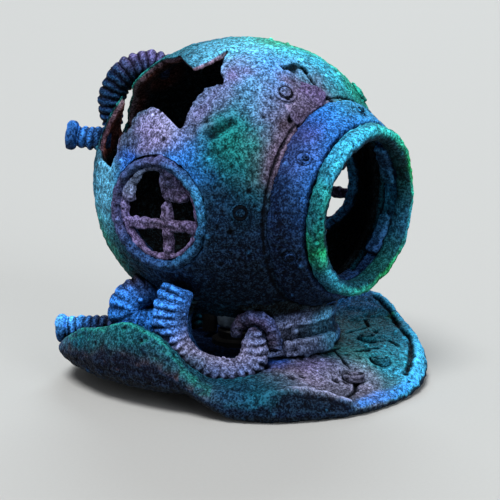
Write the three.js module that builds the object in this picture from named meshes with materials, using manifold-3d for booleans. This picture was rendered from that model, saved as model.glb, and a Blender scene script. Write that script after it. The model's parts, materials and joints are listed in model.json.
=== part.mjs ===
// Aquarium bubbling ornament: a ruined diver's helmet on a saddle-shaped breastplate, with
// corrugated hose pieces, a torn bonnet, an open front port and a bubbler inside.
// Millimetres, +Z up, front port facing -Y, origin on the ground under the middle of the base.
import * as THREE from 'three';
import { mergeVertices } from 'three/addons/utils/BufferGeometryUtils.js';
import Module from 'manifold-3d';

const wasm = await Module();
wasm.setup();

// ---- driving dimensions ----
const MIDDLE_SHIFT = [-0.5, 4.3, 0];                // brings the middle of the base over the origin
const GAP = 0.3;                                   // clearance between neighbouring pieces
const CENTRE = new THREE.Vector3(0, 0, 63);        // middle of the bonnet's sphere
const BONNET_RADIUS = 47;
const BONNET_WALL = 3.6;
const PORT_TILT = 5;                               // the front port looks down by this, degrees
const PORT_BORE = 26;                              // hole in the bonnet behind the front port
const FLANGE_OUTER = 32.6;
const FLANGE_FACE = 45.2;                          // distance of the flange's face from CENTRE
const PORT_RING_OUTER = 27.2;
const PORT_RING_BORE = 21.9;
const BOLT_COUNT = 6;
const BOLT_RADIUS = 1.7;
const LUG_COUNT = 6;
const SIDE_RING_OUTER = 17.5;
const SIDE_RING_BORE = 15;
const SIDE_TURN = 3.5;                              // each side port turns to the front, degrees
const NECK_MIDDLE_Y = -1.5;
const NECK_OUTER = 30.8;
const NECK_BORE = 26.8;
const NECK_FOOT = 12.5;
const NECK_HOLE = { angle: 203, height: 21.5, radius: 10.5 };
const NECK_MOUTH = 25.4;                           // radius of the bonnet's opening over the neck
const PLATE_BORE = 26;
const PLATE_SEAT = 33;                             // radius of the flat that carries the neck
const PLATE_THICK = 6;
const FLOOR_THICK = 3;
const FLOOR_TOP = NECK_FOOT - GAP - 2.4;
const HOLDER_TOP = FLOOR_TOP + GAP + 5;
const HOLDER_RADIUS = 9;
const NIPPLE_RADIUS = 1.6;                         // on the holder, inside the air stone's socket
const STONE_RADIUS = 7;
const INLET_HEIGHT = 22.5;
const GROMMET_LIP = 6;
const GROMMET_WAIST = 4.6;
const SPIGOT_RADIUS = 2.6;
const KNUCKLE_Y = 35.4;                            // where the inlet turns from the spigot to its tail
const STOP_RADIUS = 3.2;                           // flange that the airline's cut end meets
const BARB_RADIUS = 2.5;
const AIR_BORE = 0.9;

// Stations round the breastplate's edge: [angle from +X, outer radius, crest height, foot height].
const RIM_STATIONS = [
  [0, 59, 21, 9], [30, 58, 17, 6], [60, 56, 12, 0], [90, 55, 11, 0], [118, 57, 11, 4],
  [138, 59.5, 15, 6.5], [158, 58, 22, 6], [180, 58, 27, 6], [190, 58.5, 25, 6], [200, 59, 15.5, 6.5],
  [208, 60.5, 10, 4], [216, 62.5, 9, 0.5], [229, 65, 9.5, 0], [250, 65.5, 4.5, 0],
  [270, 63.5, 4, 0], [300, 62, 9, 0], [320, 60.5, 13.5, 4], [342, 60.5, 20, 8],
];

// The torn opening looks along TEAR_AXIS. Its outline is [up, across] in mm on a plane square to it.
const TEAR_AXIS = new THREE.Vector3(-0.5, 0.22, 0.84).normalize();
const TEAR_OUTLINE = [
  [-34, -1], [-30, -3], [-27, -1.5], [-24.5, -3], [-23.5, -6.5], [-21, -5], [-18, -6.5], [-15, -10.5],
  [-14.5, -14], [-15.7, -21], [-16.2, -24.5], [-11, -23.5], [-7.5, -22.5], [-1.5, -22], [3.5, -25],
  [5.2, -21], [9.5, -17], [17, -10.5], [12, -12], [7, -12.6], [2.2, -11], [4, -3.3], [5.7, 1], [3.6, 4],
  [4.5, 14], [0, 15.6], [-4, 17], [-5, 22], [-4.5, 30], [-9, 37.5], [-13.5, 38], [-12, 31], [-10.5, 26],
  [-11, 20], [-17, 20], [-22, 19], [-27, 17], [-31, 12],
];

// Raised bosses on the bonnet: direction from CENTRE and radius.
const BOSSES = [
  [-16.6, -29.5, 31.2, 3.8], [-37.1, -28.7, -1.4, 3.1], [23, -29.4, 28.6, 3.8], [37.1, -28.7, -2.3, 3.1],
  [30, 34, 14, 3.8], [6, 45, -6, 3.8], [24, 10, 39, 3.6],
];

// Studs on the breastplate: angle, radius from the middle, size.
const STUDS = [
  [262, 50.5, 3.8], [283, 49.5, 3.2], [303, 42, 3.2], [20, 46, 3.2], [60, 44, 3.2], [118, 44, 3.0],
];

// Hose routes, with the hose's radius at each point as the fourth number.
const FRONT_ARM = [
  [-41, -8, 36.4, 4.6], [-43.2, -7.2, 31.6, 5.1], [-44.6, -7.4, 25.4, 5.1], [-44.4, -9.2, 19, 4.9],
  [-42.4, -13, 13.6, 5], [-39.2, -18, 10.6, 5.3], [-35.2, -22.6, 9.4, 5.5], [-31, -25.6, 10.6, 5],
  [-28, -26.8, 14.6, 4.4], [-27.4, -26.4, 19.4, 3.5], [-27, -26, 22.4, 2.4], [-26.8, -25.8, 23.8, 0.9],
];
const FRONT_CURL = [
  [-25.5, -18.5, 19.5, 1.5], [-25.9, -18.9, 22.2, 1.9], [-24.8, -20.2, 24.7, 2.2], [-22.9, -22.6, 25.9, 2.3],
  [-20.8, -25.2, 24.7, 2.2], [-19.2, -27, 21.8, 2.1], [-18.4, -28.2, 17.8, 2.1], [-18.8, -28.4, 15.2, 2],
];
const LOWER_COIL = [
  [-28.5, 7, 32.4, 4], [-33.5, 10.6, 33, 4.2], [-38.4, 14.2, 30.6, 4.4], [-40.6, 15.4, 25.8, 4.4],
  [-38.8, 13, 21.6, 4.2], [-34.4, 8.4, 20, 4],
];
const LOWER_END = [[-27, 20.5, 17.2, 3.2], [-33.5, 32, 17, 3.4], [-38.6, 41, 16.2, 3.4]];
const UPPER_LOOP = [
  [0, 28.4, 98.6, 3.8], [-4, 33.8, 100, 4.2], [-8.2, 38.2, 98.2, 4.4], [-10.8, 41.6, 94.2, 4.4],
  [-12, 43.4, 89.4, 4.2], [-12.2, 43.6, 84.4, 3.8], [-12, 43.4, 79.6, 3],
];
const UPPER_STUB = [[-22, 36, 77.2, 3.6], [-25.4, 41.4, 77.2, 3.5], [-27.6, 45, 77.8, 3.4]];

// ---- small helpers ----
const radians = THREE.MathUtils.degToRad;
const polar = (degrees, radius, z) =>
  new THREE.Vector3(Math.cos(radians(degrees)) * radius, Math.sin(radians(degrees)) * radius, z);
const mix = THREE.MathUtils.lerp;
const smooth = THREE.MathUtils.smoothstep;

function toManifold(geometry) {
  const plain = geometry.clone();
  plain.deleteAttribute('normal');
  plain.deleteAttribute('uv');
  const merged = mergeVertices(plain, 1e-3);
  return new wasm.Manifold(new wasm.Mesh({
    numProp: 3,
    vertProperties: new Float32Array(merged.attributes.position.array),
    triVerts: new Uint32Array(merged.index.array),
  }));
}

function fromManifold(solid) {
  const mesh = solid.getMesh();
  const geometry = new THREE.BufferGeometry();
  geometry.setAttribute('position', new THREE.BufferAttribute(mesh.vertProperties, 3));
  geometry.setIndex(new THREE.BufferAttribute(mesh.triVerts, 1));
  geometry.computeVertexNormals();
  return geometry;
}

function cut(geometry, ...tools) {
  return fromManifold(tools.reduce((body, tool) => body.subtract(toManifold(tool)), toManifold(geometry)));
}

function join(first, ...others) {
  return fromManifold(others.reduce((body, other) => body.add(toManifold(other)), toManifold(first)));
}

function common(first, second) {
  return fromManifold(toManifold(first).intersect(toManifold(second)));
}

// A frame whose +Z looks along `direction`, at `origin`.
function facing(direction, origin) {
  const up = new THREE.Vector3(0, 0, 1);
  const turn = new THREE.Quaternion().setFromUnitVectors(up, direction.clone().normalize());
  return new THREE.Matrix4().compose(origin, turn, new THREE.Vector3(1, 1, 1));
}

// A frame for a port: +Z looks out of the port, +Y stays up.
function portFrame(outward) {
  const z = outward.clone().normalize();
  const x = new THREE.Vector3(0, 0, 1).cross(z).normalize();
  const y = z.clone().cross(x);
  return new THREE.Matrix4().makeBasis(x, y, z).setPosition(CENTRE);
}

// A turned piece about local +Z: the profile is a closed loop of [radius, height].
function turned(profile, segments = 40) {
  const points = [...profile, profile[0]].map(([r, h]) => new THREE.Vector2(r, h));
  return new THREE.LatheGeometry(points, segments).rotateX(Math.PI / 2);
}

function rod(radius, from, to, segments = 32) {
  return new THREE.CylinderGeometry(radius, radius, to - from, segments)
    .rotateX(Math.PI / 2).translate(0, 0, (from + to) / 2);
}

function prism(outline, from, to) {
  const shape = new THREE.Shape(outline.map(([x, y]) => new THREE.Vector2(x, y)));
  return new THREE.ExtrudeGeometry(shape, { depth: to - from, bevelEnabled: false }).translate(0, 0, from);
}

// ---- bonnet ----
// The sphere swells a little in a belt round the front port and draws in towards the neck.
function bonnetRadius(direction) {
  const fromFront = THREE.MathUtils.radToDeg(Math.acos(THREE.MathUtils.clamp(-direction.y, -1, 1)));
  const belt = 1.5 * Math.exp(-(((fromFront - 57) / 18) ** 2));
  return BONNET_RADIUS + belt - 1.2 * smooth(-direction.z, 0.3, 0.8);
}

function bonnetBall(offset, columns, rows) {
  const ball = new THREE.SphereGeometry(1, columns, rows);
  const position = ball.attributes.position;
  const direction = new THREE.Vector3();
  for (let i = 0; i < position.count; i += 1) {
    direction.fromBufferAttribute(position, i).normalize();
    const radius = bonnetRadius(direction) + offset;
    position.setXYZ(i, direction.x * radius, direction.y * radius, direction.z * radius);
  }
  return ball.translate(CENTRE.x, CENTRE.y, CENTRE.z);
}

const bonnetSkin = (offset) => bonnetBall(offset, 32, 20);

const frontFrame = portFrame(
  new THREE.Vector3(0, -Math.cos(radians(PORT_TILT)), -Math.sin(radians(PORT_TILT))),
);
const sideDirection = (side) => new THREE.Vector3(
  side * Math.cos(radians(SIDE_TURN)), -Math.sin(radians(SIDE_TURN)), -0.085,
);
const sideFrame = { right: portFrame(sideDirection(-1)), left: portFrame(sideDirection(1)) };

function tearCutter() {
  const up = new THREE.Vector3(0, 0, 1).addScaledVector(TEAR_AXIS, -TEAR_AXIS.z).normalize();
  const across = TEAR_AXIS.clone().cross(up);
  const frame = new THREE.Matrix4().makeBasis(up, across, TEAR_AXIS).setPosition(CENTRE);
  return prism(TEAR_OUTLINE, 6, 60).applyMatrix4(frame);
}

function bonnet() {
  return cut(
    bonnetSkin(0),
    bonnetBall(-BONNET_WALL, 24, 14),
    rod(PORT_BORE, 20, 60, 40).applyMatrix4(frontFrame),
    rod(SIDE_RING_OUTER + GAP, 20, 60).applyMatrix4(sideFrame.right),
    rod(SIDE_RING_OUTER + GAP, 20, 60).applyMatrix4(sideFrame.left),
    rod(NECK_MOUTH, 0, 40, 40),
    tearCutter(),
    inletBore(GROMMET_LIP + GAP, 18),
    ...hoseCutters('bonnet'),
  );
}

function bonnetBoss([x, y, z, radius]) {
  const direction = new THREE.Vector3(x, y, z).normalize();
  const seat = CENTRE.clone().addScaledVector(direction, bonnetRadius(direction));
  const height = 0.32 * radius;
  const button = turned([
    [0, -1.6], [radius, -1.6], [radius, 0.5], [0.86 * radius, 0.9], [0.7 * radius, 0.4],
    [0.55 * radius, height * 0.8], [0, height],
  ], 12);
  return cut(button.applyMatrix4(facing(direction, seat)), bonnetSkin(GAP));
}

// A riveted strap on the bonnet, above the front flange, with a split at its upper corner.
function strapPlate() {
  const direction = new THREE.Vector3(-11.5, -33, 27).normalize();
  const outline = [[-8, 3], [-4.4, 8.4], [-1.2, 8.8], [3, 9.8], [9.4, 0.6], [4, -3], [-1.4, -5.6], [-8, -4]];
  const seat = CENTRE.clone().addScaledVector(direction, BONNET_RADIUS);
  const blank = prism(outline, -8, 6).applyMatrix4(facing(direction, seat));
  return cut(common(blank, bonnetSkin(1.3)), bonnetSkin(GAP), flangeRoom(), bossRoom());
}

function bossRoom() {
  const [x, y, z, radius] = BOSSES[0];
  return rod(radius + GAP, 30, 60, 12).applyMatrix4(facing(new THREE.Vector3(x, y, z), CENTRE));
}

// ---- front port ----
const flangeRoom = () => rod(FLANGE_OUTER + GAP, 20, 60, 36).applyMatrix4(frontFrame);

function portFlange() {
  const body = turned([
    [FLANGE_OUTER, 30], [FLANGE_OUTER, 37], [FLANGE_OUTER - 0.8, 38.4], [28.2, FLANGE_FACE],
    [24.6, FLANGE_FACE], [24.6, 30],
  ], 36);
  return cut(body.applyMatrix4(frontFrame), bonnetSkin(GAP));
}

function flangeBolt(angle) {
  const slope = new THREE.Vector3(0.84 * Math.cos(radians(angle)), 0.84 * Math.sin(radians(angle)), 0.54);
  const seat = polar(angle, 30.1, 41.7).addScaledVector(slope, GAP);
  const head = turned([
    [0, 0], [BOLT_RADIUS, 0], [BOLT_RADIUS, 0.7], [0.66 * BOLT_RADIUS, 0.6],
    [0.56 * BOLT_RADIUS, 1.3], [0, 1.4],
  ], 10);
  return head.applyMatrix4(facing(slope, seat)).applyMatrix4(frontFrame);
}

function portRing() {
  const back = FLANGE_FACE + GAP;
  return turned([
    [22.6, back], [26.4, back], [PORT_RING_OUTER, back + 1.3], [PORT_RING_OUTER - 0.1, back + 3.4],
    [26.3, back + 5], [24.6, back + 5.5], [22.8, back + 5], [PORT_RING_BORE + 0.1, back + 3.6],
    [PORT_RING_BORE, back + 1.2],
  ], 36).applyMatrix4(frontFrame);
}

// One sector of the interrupted thread inside the port's bore.
function portLug(angle) {
  const half = radians(17);
  const middle = radians(angle);
  const shape = new THREE.Shape();
  shape.absarc(0, 0, 24.3, middle - half, middle + half, false);
  shape.absarc(0, 0, 22.2, middle + half, middle - half, true);
  const blank = new THREE.ExtrudeGeometry(shape, { depth: 4.2, bevelEnabled: false, curveSegments: 5 });
  return blank.translate(0, 0, FLANGE_FACE - 4.6).applyMatrix4(frontFrame);
}

// ---- side ports ----
function sideRing(frame) {
  return turned([
    [SIDE_RING_BORE, 39.4], [SIDE_RING_OUTER, 39.4], [SIDE_RING_OUTER, 44.4], [17, 45.4],
    [16.2, 45.8], [15.4, 45.4], [SIDE_RING_BORE, 44.4],
  ], 30).applyMatrix4(frame);
}

// The broken grille: two crossed bars with ragged rests of plate in the upper corners.
function grille(frame, mirror) {
  const reach = SIDE_RING_BORE - GAP;
  const disc = rod(reach, 41.6, 44, 30);
  const bars = [
    [[-reach - 1, -5.4], [reach + 1, -5], [reach + 1, -2.2], [-reach - 1, -2.6]],
    [[0.8, -reach - 1], [3.4, -reach - 1], [3.3, -4], [3.6, 2.6], [2.4, 4], [1.2, 2.6], [1, -4]],
    [[-15, 3.2], [-10.4, 3], [-9.4, 8], [-6.6, 12.6], [-6.4, 16], [-15, 16]],
    [[0.9, 5.4], [4, 3.8], [9.4, 4.4], [11.2, 6.6], [15, 7], [15, 16], [1, 16]],
  ].map((outline) => prism(outline.map(([x, y]) => [mirror * x, y]), 38, 45));
  const rim = cut(disc, rod(reach - 1.4, 40, 46, 30));
  const web = join(rim, ...bars.map((bar) => common(disc, bar)));
  return web.applyMatrix4(frame);
}

// ---- neck ----
function neckHole(radius) {
  const direction = polar(NECK_HOLE.angle, 1, 0);
  const origin = new THREE.Vector3(0, NECK_MIDDLE_Y, NECK_HOLE.height);
  return rod(radius, 15, 45, 24).applyMatrix4(facing(direction, origin));
}

const inletFrame = facing(new THREE.Vector3(0, 1, 0), new THREE.Vector3(0, 0, INLET_HEIGHT));
const inletBore = (radius, from) => rod(radius, from, 45, 16).applyMatrix4(inletFrame);

function neckCollar() {
  const body = turned([
    [NECK_BORE, NECK_FOOT], [NECK_OUTER + 1.2, NECK_FOOT], [NECK_OUTER + 1, 15], [NECK_OUTER, 17.4],
    [NECK_OUTER, 24], [32, 27.4], [34, 31], [NECK_BORE, 31],
  ], 40).translate(0, NECK_MIDDLE_Y, 0);
  return cut(
    body, bonnetSkin(GAP), flangeRoom(), neckHole(NECK_HOLE.radius),
    inletBore(GROMMET_WAIST + GAP, 18), inletBore(GROMMET_LIP + GAP, 29.5),
    ...hoseCutters('neck'),
  );
}

// A curved clamp pad that lies against the foot of the neck.
function clampPad(angle) {
  const half = radians(17);
  const middle = radians(angle);
  const inner = NECK_OUTER + 1.2 + GAP;
  const shape = new THREE.Shape();
  shape.absarc(0, 0, inner + 2, middle - half, middle + half, false);
  shape.absarc(0, 0, inner, middle + half, middle - half, true);
  return new THREE.ExtrudeGeometry(shape, { depth: 5, bevelEnabled: false, curveSegments: 6 })
    .translate(0, NECK_MIDDLE_Y, NECK_FOOT + GAP);
}

// ---- breastplate ----
function rimAt(degrees) {
  const angle = ((degrees % 360) + 360) % 360;
  const next = RIM_STATIONS.findIndex(([station]) => station > angle);
  const [a, b] = next < 0
    ? [RIM_STATIONS.at(-1), [360, ...RIM_STATIONS[0].slice(1)]]
    : [RIM_STATIONS[next - 1], RIM_STATIONS[next]];
  const t = smooth(angle, a[0], b[0]);
  return { radius: mix(a[1], b[1], t), crest: mix(a[2], b[2], t), foot: mix(a[3], b[3], t) };
}

const plateTop = (rim, t) => mix(NECK_FOOT - GAP, rim.crest, smooth(t, 0.1, 1.05));

function plateProfile(degrees) {
  const rim = rimAt(degrees);
  const R = rim.radius;
  const seat = NECK_FOOT - GAP;
  const undercut = 1 + 4 * smooth(rim.foot, 2, 9);
  const along = (t) => mix(PLATE_SEAT, R - 3, t);
  const underside = Math.max(rim.foot + 1.2, plateTop(rim, 0.72) - PLATE_THICK);
  return [
    [PLATE_BORE, seat - PLATE_THICK], [PLATE_BORE, seat], [PLATE_SEAT, seat],
    [along(0.35), plateTop(rim, 0.35)], [along(0.68), plateTop(rim, 0.68)], [along(0.9), plateTop(rim, 0.93)],
    [R - 2.6, rim.crest], [R - 0.7, rim.crest - 0.28 * (rim.crest - rim.foot)],
    [R, mix(rim.crest, rim.foot, 0.55)], [R - undercut * 0.5, mix(rim.crest, rim.foot, 0.85)],
    [R - 1.5 - undercut, rim.foot], [R - 6 - undercut, rim.foot],
    [along(0.62), underside], [along(0.3), seat - PLATE_THICK],
  ].reverse();
}

function plateBody() {
  const segments = 54;
  const first = plateProfile(0);
  const points = [...first, first[0]].map(([r, h]) => new THREE.Vector2(r, h));
  const lathe = new THREE.LatheGeometry(points, segments);
  const position = lathe.attributes.position;
  for (let i = 0; i <= segments; i += 1) {
    const degrees = (360 * (i % segments)) / segments;
    const profile = plateProfile(degrees);
    points.forEach((_, j) => {
      const [r, h] = profile[j % profile.length];
      const spot = polar(degrees, r, h);
      position.setXYZ(i * points.length + j, spot.x, spot.y, spot.z);
    });
  }
  return lathe;
}

function breastplate() {
  return cut(plateBody(), neckHole(NECK_HOLE.radius), ...hoseCutters('plate'), ...STUDS.map(studSocket));
}

function studSeat([angle, radius]) {
  const rim = rimAt(angle);
  const t = (radius - PLATE_SEAT) / (rim.radius - 3 - PLATE_SEAT);
  return polar(angle, radius, plateTop(rim, t));
}

const studSocket = (stud) =>
  rod(stud[2] + GAP, -1.6, 6, 14).applyMatrix4(new THREE.Matrix4().setPosition(studSeat(stud)));

function plateStud(stud) {
  const size = stud[2];
  const button = turned([
    [0, -1.3], [size, -1.3], [size, 0.9], [0.8 * size, 1.4], [0.66 * size, 0.9], [0.5 * size, 1.5], [0, 1.9],
  ], 14);
  return button.applyMatrix4(new THREE.Matrix4().setPosition(studSeat(stud)));
}

// ---- corrugated hose pieces ----
// A round bar along a smooth curve, with its radius taken from the route and ribs across it.
function hose(route, { extra = 0, pitch = 3.4, rib = 0.5, sides = 10, perRib = 2 } = {}) {
  const curve = new THREE.CatmullRomCurve3(route.map(([x, y, z]) => new THREE.Vector3(x, y, z)));
  const steps = Math.max(4, perRib * Math.round(curve.getLength() / pitch));
  const circle = new THREE.Shape().absarc(0, 0, 1, 0, 2 * Math.PI);
  const bar = new THREE.ExtrudeGeometry(circle, {
    steps, extrudePath: curve, bevelEnabled: false, curveSegments: sides / 2,
  });
  const middles = curve.getSpacedPoints(steps);
  const position = bar.attributes.position;
  const vertex = new THREE.Vector3();
  for (let i = 0; i < position.count; i += 1) {
    vertex.fromBufferAttribute(position, i);
    const distances = middles.map((middle) => middle.distanceToSquared(vertex));
    const ring = distances.indexOf(Math.min(...distances));
    const ribbed = rib * (ring % 2 ? 1 : -0.4);
    const radius = routeRadius(route, curve, ring / steps) + extra + ribbed;
    vertex.sub(middles[ring]).multiplyScalar(radius).add(middles[ring]);
    position.setXYZ(i, vertex.x, vertex.y, vertex.z);
  }
  return bar;
}

function routeRadius(route, curve, arc) {
  const t = curve.getUtoTmapping(arc) * (route.length - 1);
  const i = Math.min(Math.floor(t), route.length - 2);
  return mix(route[i][3], route[i + 1][3], t - i);
}

const smoothHose = { rib: 0, perRib: 1 };
const roomFor = (route) => hose(route, { ...smoothHose, extra: GAP + 0.6 });

function hoseCutters(target) {
  const rooms = {
    bonnet: [FRONT_ARM, LOWER_COIL, UPPER_LOOP, UPPER_STUB],
    neck: [FRONT_ARM, LOWER_COIL, LOWER_END],
    plate: [FRONT_ARM, LOWER_END],
  };
  const collar = target === 'plate' ? [hoseEnd(LOWER_END, 4.3 + GAP, -1)] : [];
  return [...[...rooms[target], FRONT_CURL].map(roomFor), ...collar];
}

// A flared collar at a hose's open end: a short cup on the line of the last two points.
function hoseEnd(route, radius, from = GAP) {
  const [last, before] = [route.at(-1), route.at(-2)].map(([x, y, z]) => new THREE.Vector3(x, y, z));
  const along = last.clone().sub(before).normalize();
  const cup = turned([
    [0, from], [radius - 0.6, from], [radius, from + 0.7], [radius, 2.6],
    [radius - 0.5, 3], [radius - 1.3, 3], [radius - 1.5, 1.6], [0, 1.4],
  ], 16);
  return cup.applyMatrix4(facing(along, last));
}

// ---- bubbler ----
function floorPlate() {
  const edge = PLATE_BORE - GAP;
  const foot = FLOOR_TOP - FLOOR_THICK;
  return turned([[0, foot], [edge, foot], [edge, FLOOR_TOP], [0, FLOOR_TOP]], 32);
}

// A cup on the floor with a nipple in the middle that the air stone plugs on to.
function stoneHolder() {
  const foot = FLOOR_TOP + GAP;
  return turned([
    [0, foot], [HOLDER_RADIUS, foot], [HOLDER_RADIUS, foot + 1.6], [STONE_RADIUS, foot + 2.2],
    [STONE_RADIUS, HOLDER_TOP - 0.6], [6.4, HOLDER_TOP], [NIPPLE_RADIUS, HOLDER_TOP],
    [NIPPLE_RADIUS, HOLDER_TOP + 4], [1.2, HOLDER_TOP + 4.6], [0, HOLDER_TOP + 4.6],
  ], 24);
}

function airStone() {
  const foot = HOLDER_TOP + GAP;
  const socket = NIPPLE_RADIUS + GAP;
  return turned([
    [socket, foot], [6.2, foot], [STONE_RADIUS, foot + 1], [STONE_RADIUS, foot + 16.4],
    [6, foot + 18], [0, foot + 18.6], [0, foot + 6], [socket, foot + 6],
  ], 24);
}

function inletGrommet() {
  const hole = SPIGOT_RADIUS + GAP;
  return turned([
    [hole, 23], [5.4, 23], [5.4, 24], [GROMMET_WAIST, 24.4], [GROMMET_WAIST, 29.9],
    [GROMMET_LIP, 29.9], [GROMMET_LIP, 31], [5.2, 31.8], [hole, 31.8],
  ], 16).applyMatrix4(inletFrame);
}

// The elbow: a spigot through the grommet, a round knuckle, and a barbed tail to the side with a
// flange that stops the airline, bored for air from end to end.
function inletElbow() {
  const knuckleSpot = new THREE.Vector3(0, KNUCKLE_Y, INLET_HEIGHT);
  const tailFrame = facing(new THREE.Vector3(1, 0, 0), knuckleSpot.clone().setX(0.4));
  const spigot = turned([
    [0, 19], [2, 19], [2.4, 20], [2, 21.6], [2, 22.6],
    [SPIGOT_RADIUS, 23.2], [SPIGOT_RADIUS, 36], [0, 36],
  ], 12).applyMatrix4(inletFrame);
  const knuckle = new THREE.SphereGeometry(3.3, 12, 8).translate(...knuckleSpot);
  const tail = turned([
    [0, 0], [2.4, 0], [2.4, 3], [STOP_RADIUS, 3.3], [STOP_RADIUS, 4.4], [BARB_RADIUS + 0.1, 4.4],
    [1.9, 5], [BARB_RADIUS, 6], [1.9, 7.3], [BARB_RADIUS, 8.3], [1.9, 9.6], [1.6, 10], [0, 10],
  ], 12).applyMatrix4(tailFrame);
  const spigotBore = rod(AIR_BORE, 18, KNUCKLE_Y, 8).applyMatrix4(inletFrame);
  const tailBore = rod(AIR_BORE, -0.4, 11, 8).applyMatrix4(tailFrame);
  return cut(join(spigot, knuckle, tail), spigotBore, tailBore);
}

// Soft tubing from the elbow's inner barb down to the holder's side.
function airlineTube() {
  const route = new THREE.CatmullRomCurve3([
    new THREE.Vector3(0, 18.2, INLET_HEIGHT), new THREE.Vector3(0, 15.6, INLET_HEIGHT - 0.8),
    new THREE.Vector3(0, 13, INLET_HEIGHT - 4), new THREE.Vector3(0, 12.2, 16.6),
    new THREE.Vector3(0, 12.4, FLOOR_TOP + 2.6),
  ]);
  const section = new THREE.Shape().absarc(0, 0, 2.6, 0, 2 * Math.PI);
  section.holes.push(new THREE.Path().absarc(0, 0, 1.5, 0, 2 * Math.PI, true));
  return new THREE.ExtrudeGeometry(section, {
    steps: 7, extrudePath: route, bevelEnabled: false, curveSegments: 5,
  });
}

// ---- assembly ----
const RESIN = {
  bonnet: 0x4f8f96, strap: 0x8f86a6, flange: 0x4c6f96, ring: 0x58a39a, side: 0x6f9ab0, grille: 0x7c7390,
  neck: 0x31546b, plate: 0x5d9a97, hose: 0x6a83b3, arm: 0x7a8cc0, inner: 0x2c3440,
};
const group = new THREE.Group();

function add(name, geometry, color, roughness = 0.85, metalness = 0) {
  const mesh = new THREE.Mesh(geometry, new THREE.MeshStandardMaterial({ color, roughness, metalness }));
  mesh.name = name;
  group.add(mesh);
}

add('bonnet', bonnet(), RESIN.bonnet);
add('strap_plate', strapPlate(), RESIN.strap);
BOSSES.forEach((boss, i) => add(`bonnet_boss_${i + 1}`, bonnetBoss(boss), RESIN.bonnet));

add('port_flange', portFlange(), RESIN.flange);
for (let i = 0; i < BOLT_COUNT; i += 1) {
  add(`flange_bolt_${i + 1}`, flangeBolt(23 + (360 * i) / BOLT_COUNT), RESIN.flange);
}
add('port_ring', portRing(), RESIN.ring);
for (let i = 0; i < LUG_COUNT; i += 1) {
  add(`port_lug_${i + 1}`, portLug(30 + (360 * i) / LUG_COUNT), RESIN.flange);
}

for (const [side, mirror] of [['right', 1], ['left', -1]]) {
  add(`side_ring_${side}`, sideRing(sideFrame[side]), RESIN.side);
  add(`side_grille_${side}`, grille(sideFrame[side], mirror), RESIN.grille);
}

add('neck_collar', neckCollar(), RESIN.neck);
add('clamp_pad_front', clampPad(258), RESIN.neck);
add('clamp_pad_back', clampPad(52), RESIN.neck);
add('breastplate', breastplate(), RESIN.plate);
STUDS.forEach((stud, i) => add(`plate_stud_${i + 1}`, plateStud(stud), RESIN.plate));

add('hose_front_arm', hose(FRONT_ARM), RESIN.arm);
add('hose_front_curl', hose(FRONT_CURL, { ...smoothHose, pitch: 3, sides: 8 }), RESIN.arm);
add('hose_lower_coil', hose(LOWER_COIL), RESIN.hose);
add('hose_lower_end', hose(LOWER_END), RESIN.hose);
add('hose_lower_collar', hoseEnd(LOWER_END, 4.3), RESIN.hose);
add('hose_upper_loop', hose(UPPER_LOOP), RESIN.hose);
add('hose_upper_stub', hose(UPPER_STUB), RESIN.hose);
add('hose_upper_collar', hoseEnd(UPPER_STUB, 4.7), RESIN.hose);

add('base_floor', floorPlate(), RESIN.inner);
add('stone_holder', stoneHolder(), 0x24262a, 0.5);
add('air_stone', airStone(), 0x8fa0b0, 0.95);
add('inlet_grommet', inletGrommet(), 0x1c1c1e, 0.8);
add('airline_inlet', inletElbow(), 0xe0e4e2, 0.4);
add('airline_tube', airlineTube(), 0x26282c, 0.4);

group.position.set(...MIDDLE_SHIFT);
export default group;
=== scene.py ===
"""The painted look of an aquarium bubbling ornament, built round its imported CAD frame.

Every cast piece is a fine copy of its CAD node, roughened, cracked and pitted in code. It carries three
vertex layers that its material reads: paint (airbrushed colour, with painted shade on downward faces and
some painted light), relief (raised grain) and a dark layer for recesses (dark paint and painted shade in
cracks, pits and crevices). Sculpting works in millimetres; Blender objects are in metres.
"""

import json
import math
from itertools import product

import bpy
import numpy as np
import openvdb
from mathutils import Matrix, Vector


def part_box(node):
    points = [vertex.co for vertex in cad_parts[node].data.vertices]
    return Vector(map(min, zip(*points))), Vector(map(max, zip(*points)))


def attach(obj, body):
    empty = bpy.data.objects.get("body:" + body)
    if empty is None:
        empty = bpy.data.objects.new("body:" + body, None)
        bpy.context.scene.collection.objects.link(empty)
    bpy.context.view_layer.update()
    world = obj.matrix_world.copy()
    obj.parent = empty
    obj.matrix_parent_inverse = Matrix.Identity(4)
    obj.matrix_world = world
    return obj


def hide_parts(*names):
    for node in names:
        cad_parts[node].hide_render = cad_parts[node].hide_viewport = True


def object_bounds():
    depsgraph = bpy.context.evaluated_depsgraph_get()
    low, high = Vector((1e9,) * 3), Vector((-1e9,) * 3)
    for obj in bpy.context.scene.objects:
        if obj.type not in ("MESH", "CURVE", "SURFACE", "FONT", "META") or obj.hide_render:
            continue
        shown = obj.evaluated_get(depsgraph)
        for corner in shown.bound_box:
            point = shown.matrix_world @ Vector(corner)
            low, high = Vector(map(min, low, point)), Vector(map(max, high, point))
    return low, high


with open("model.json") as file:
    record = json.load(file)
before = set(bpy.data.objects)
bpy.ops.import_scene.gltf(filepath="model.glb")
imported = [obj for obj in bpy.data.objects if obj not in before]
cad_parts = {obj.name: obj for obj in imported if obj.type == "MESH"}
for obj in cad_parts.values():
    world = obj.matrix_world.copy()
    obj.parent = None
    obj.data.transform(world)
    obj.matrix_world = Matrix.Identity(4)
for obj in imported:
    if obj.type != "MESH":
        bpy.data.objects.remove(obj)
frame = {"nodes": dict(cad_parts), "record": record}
CAD_BOX = [list(corner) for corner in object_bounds()]
RECORD = frame["record"]
SLOT_OF = {part["node"]: part["material_slot"] for part in RECORD["subparts"]}
BODY_OF = {node: body for body, nodes in RECORD["behaviour"]["bodies"].items() for node in nodes}

MM = 0.001
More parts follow.
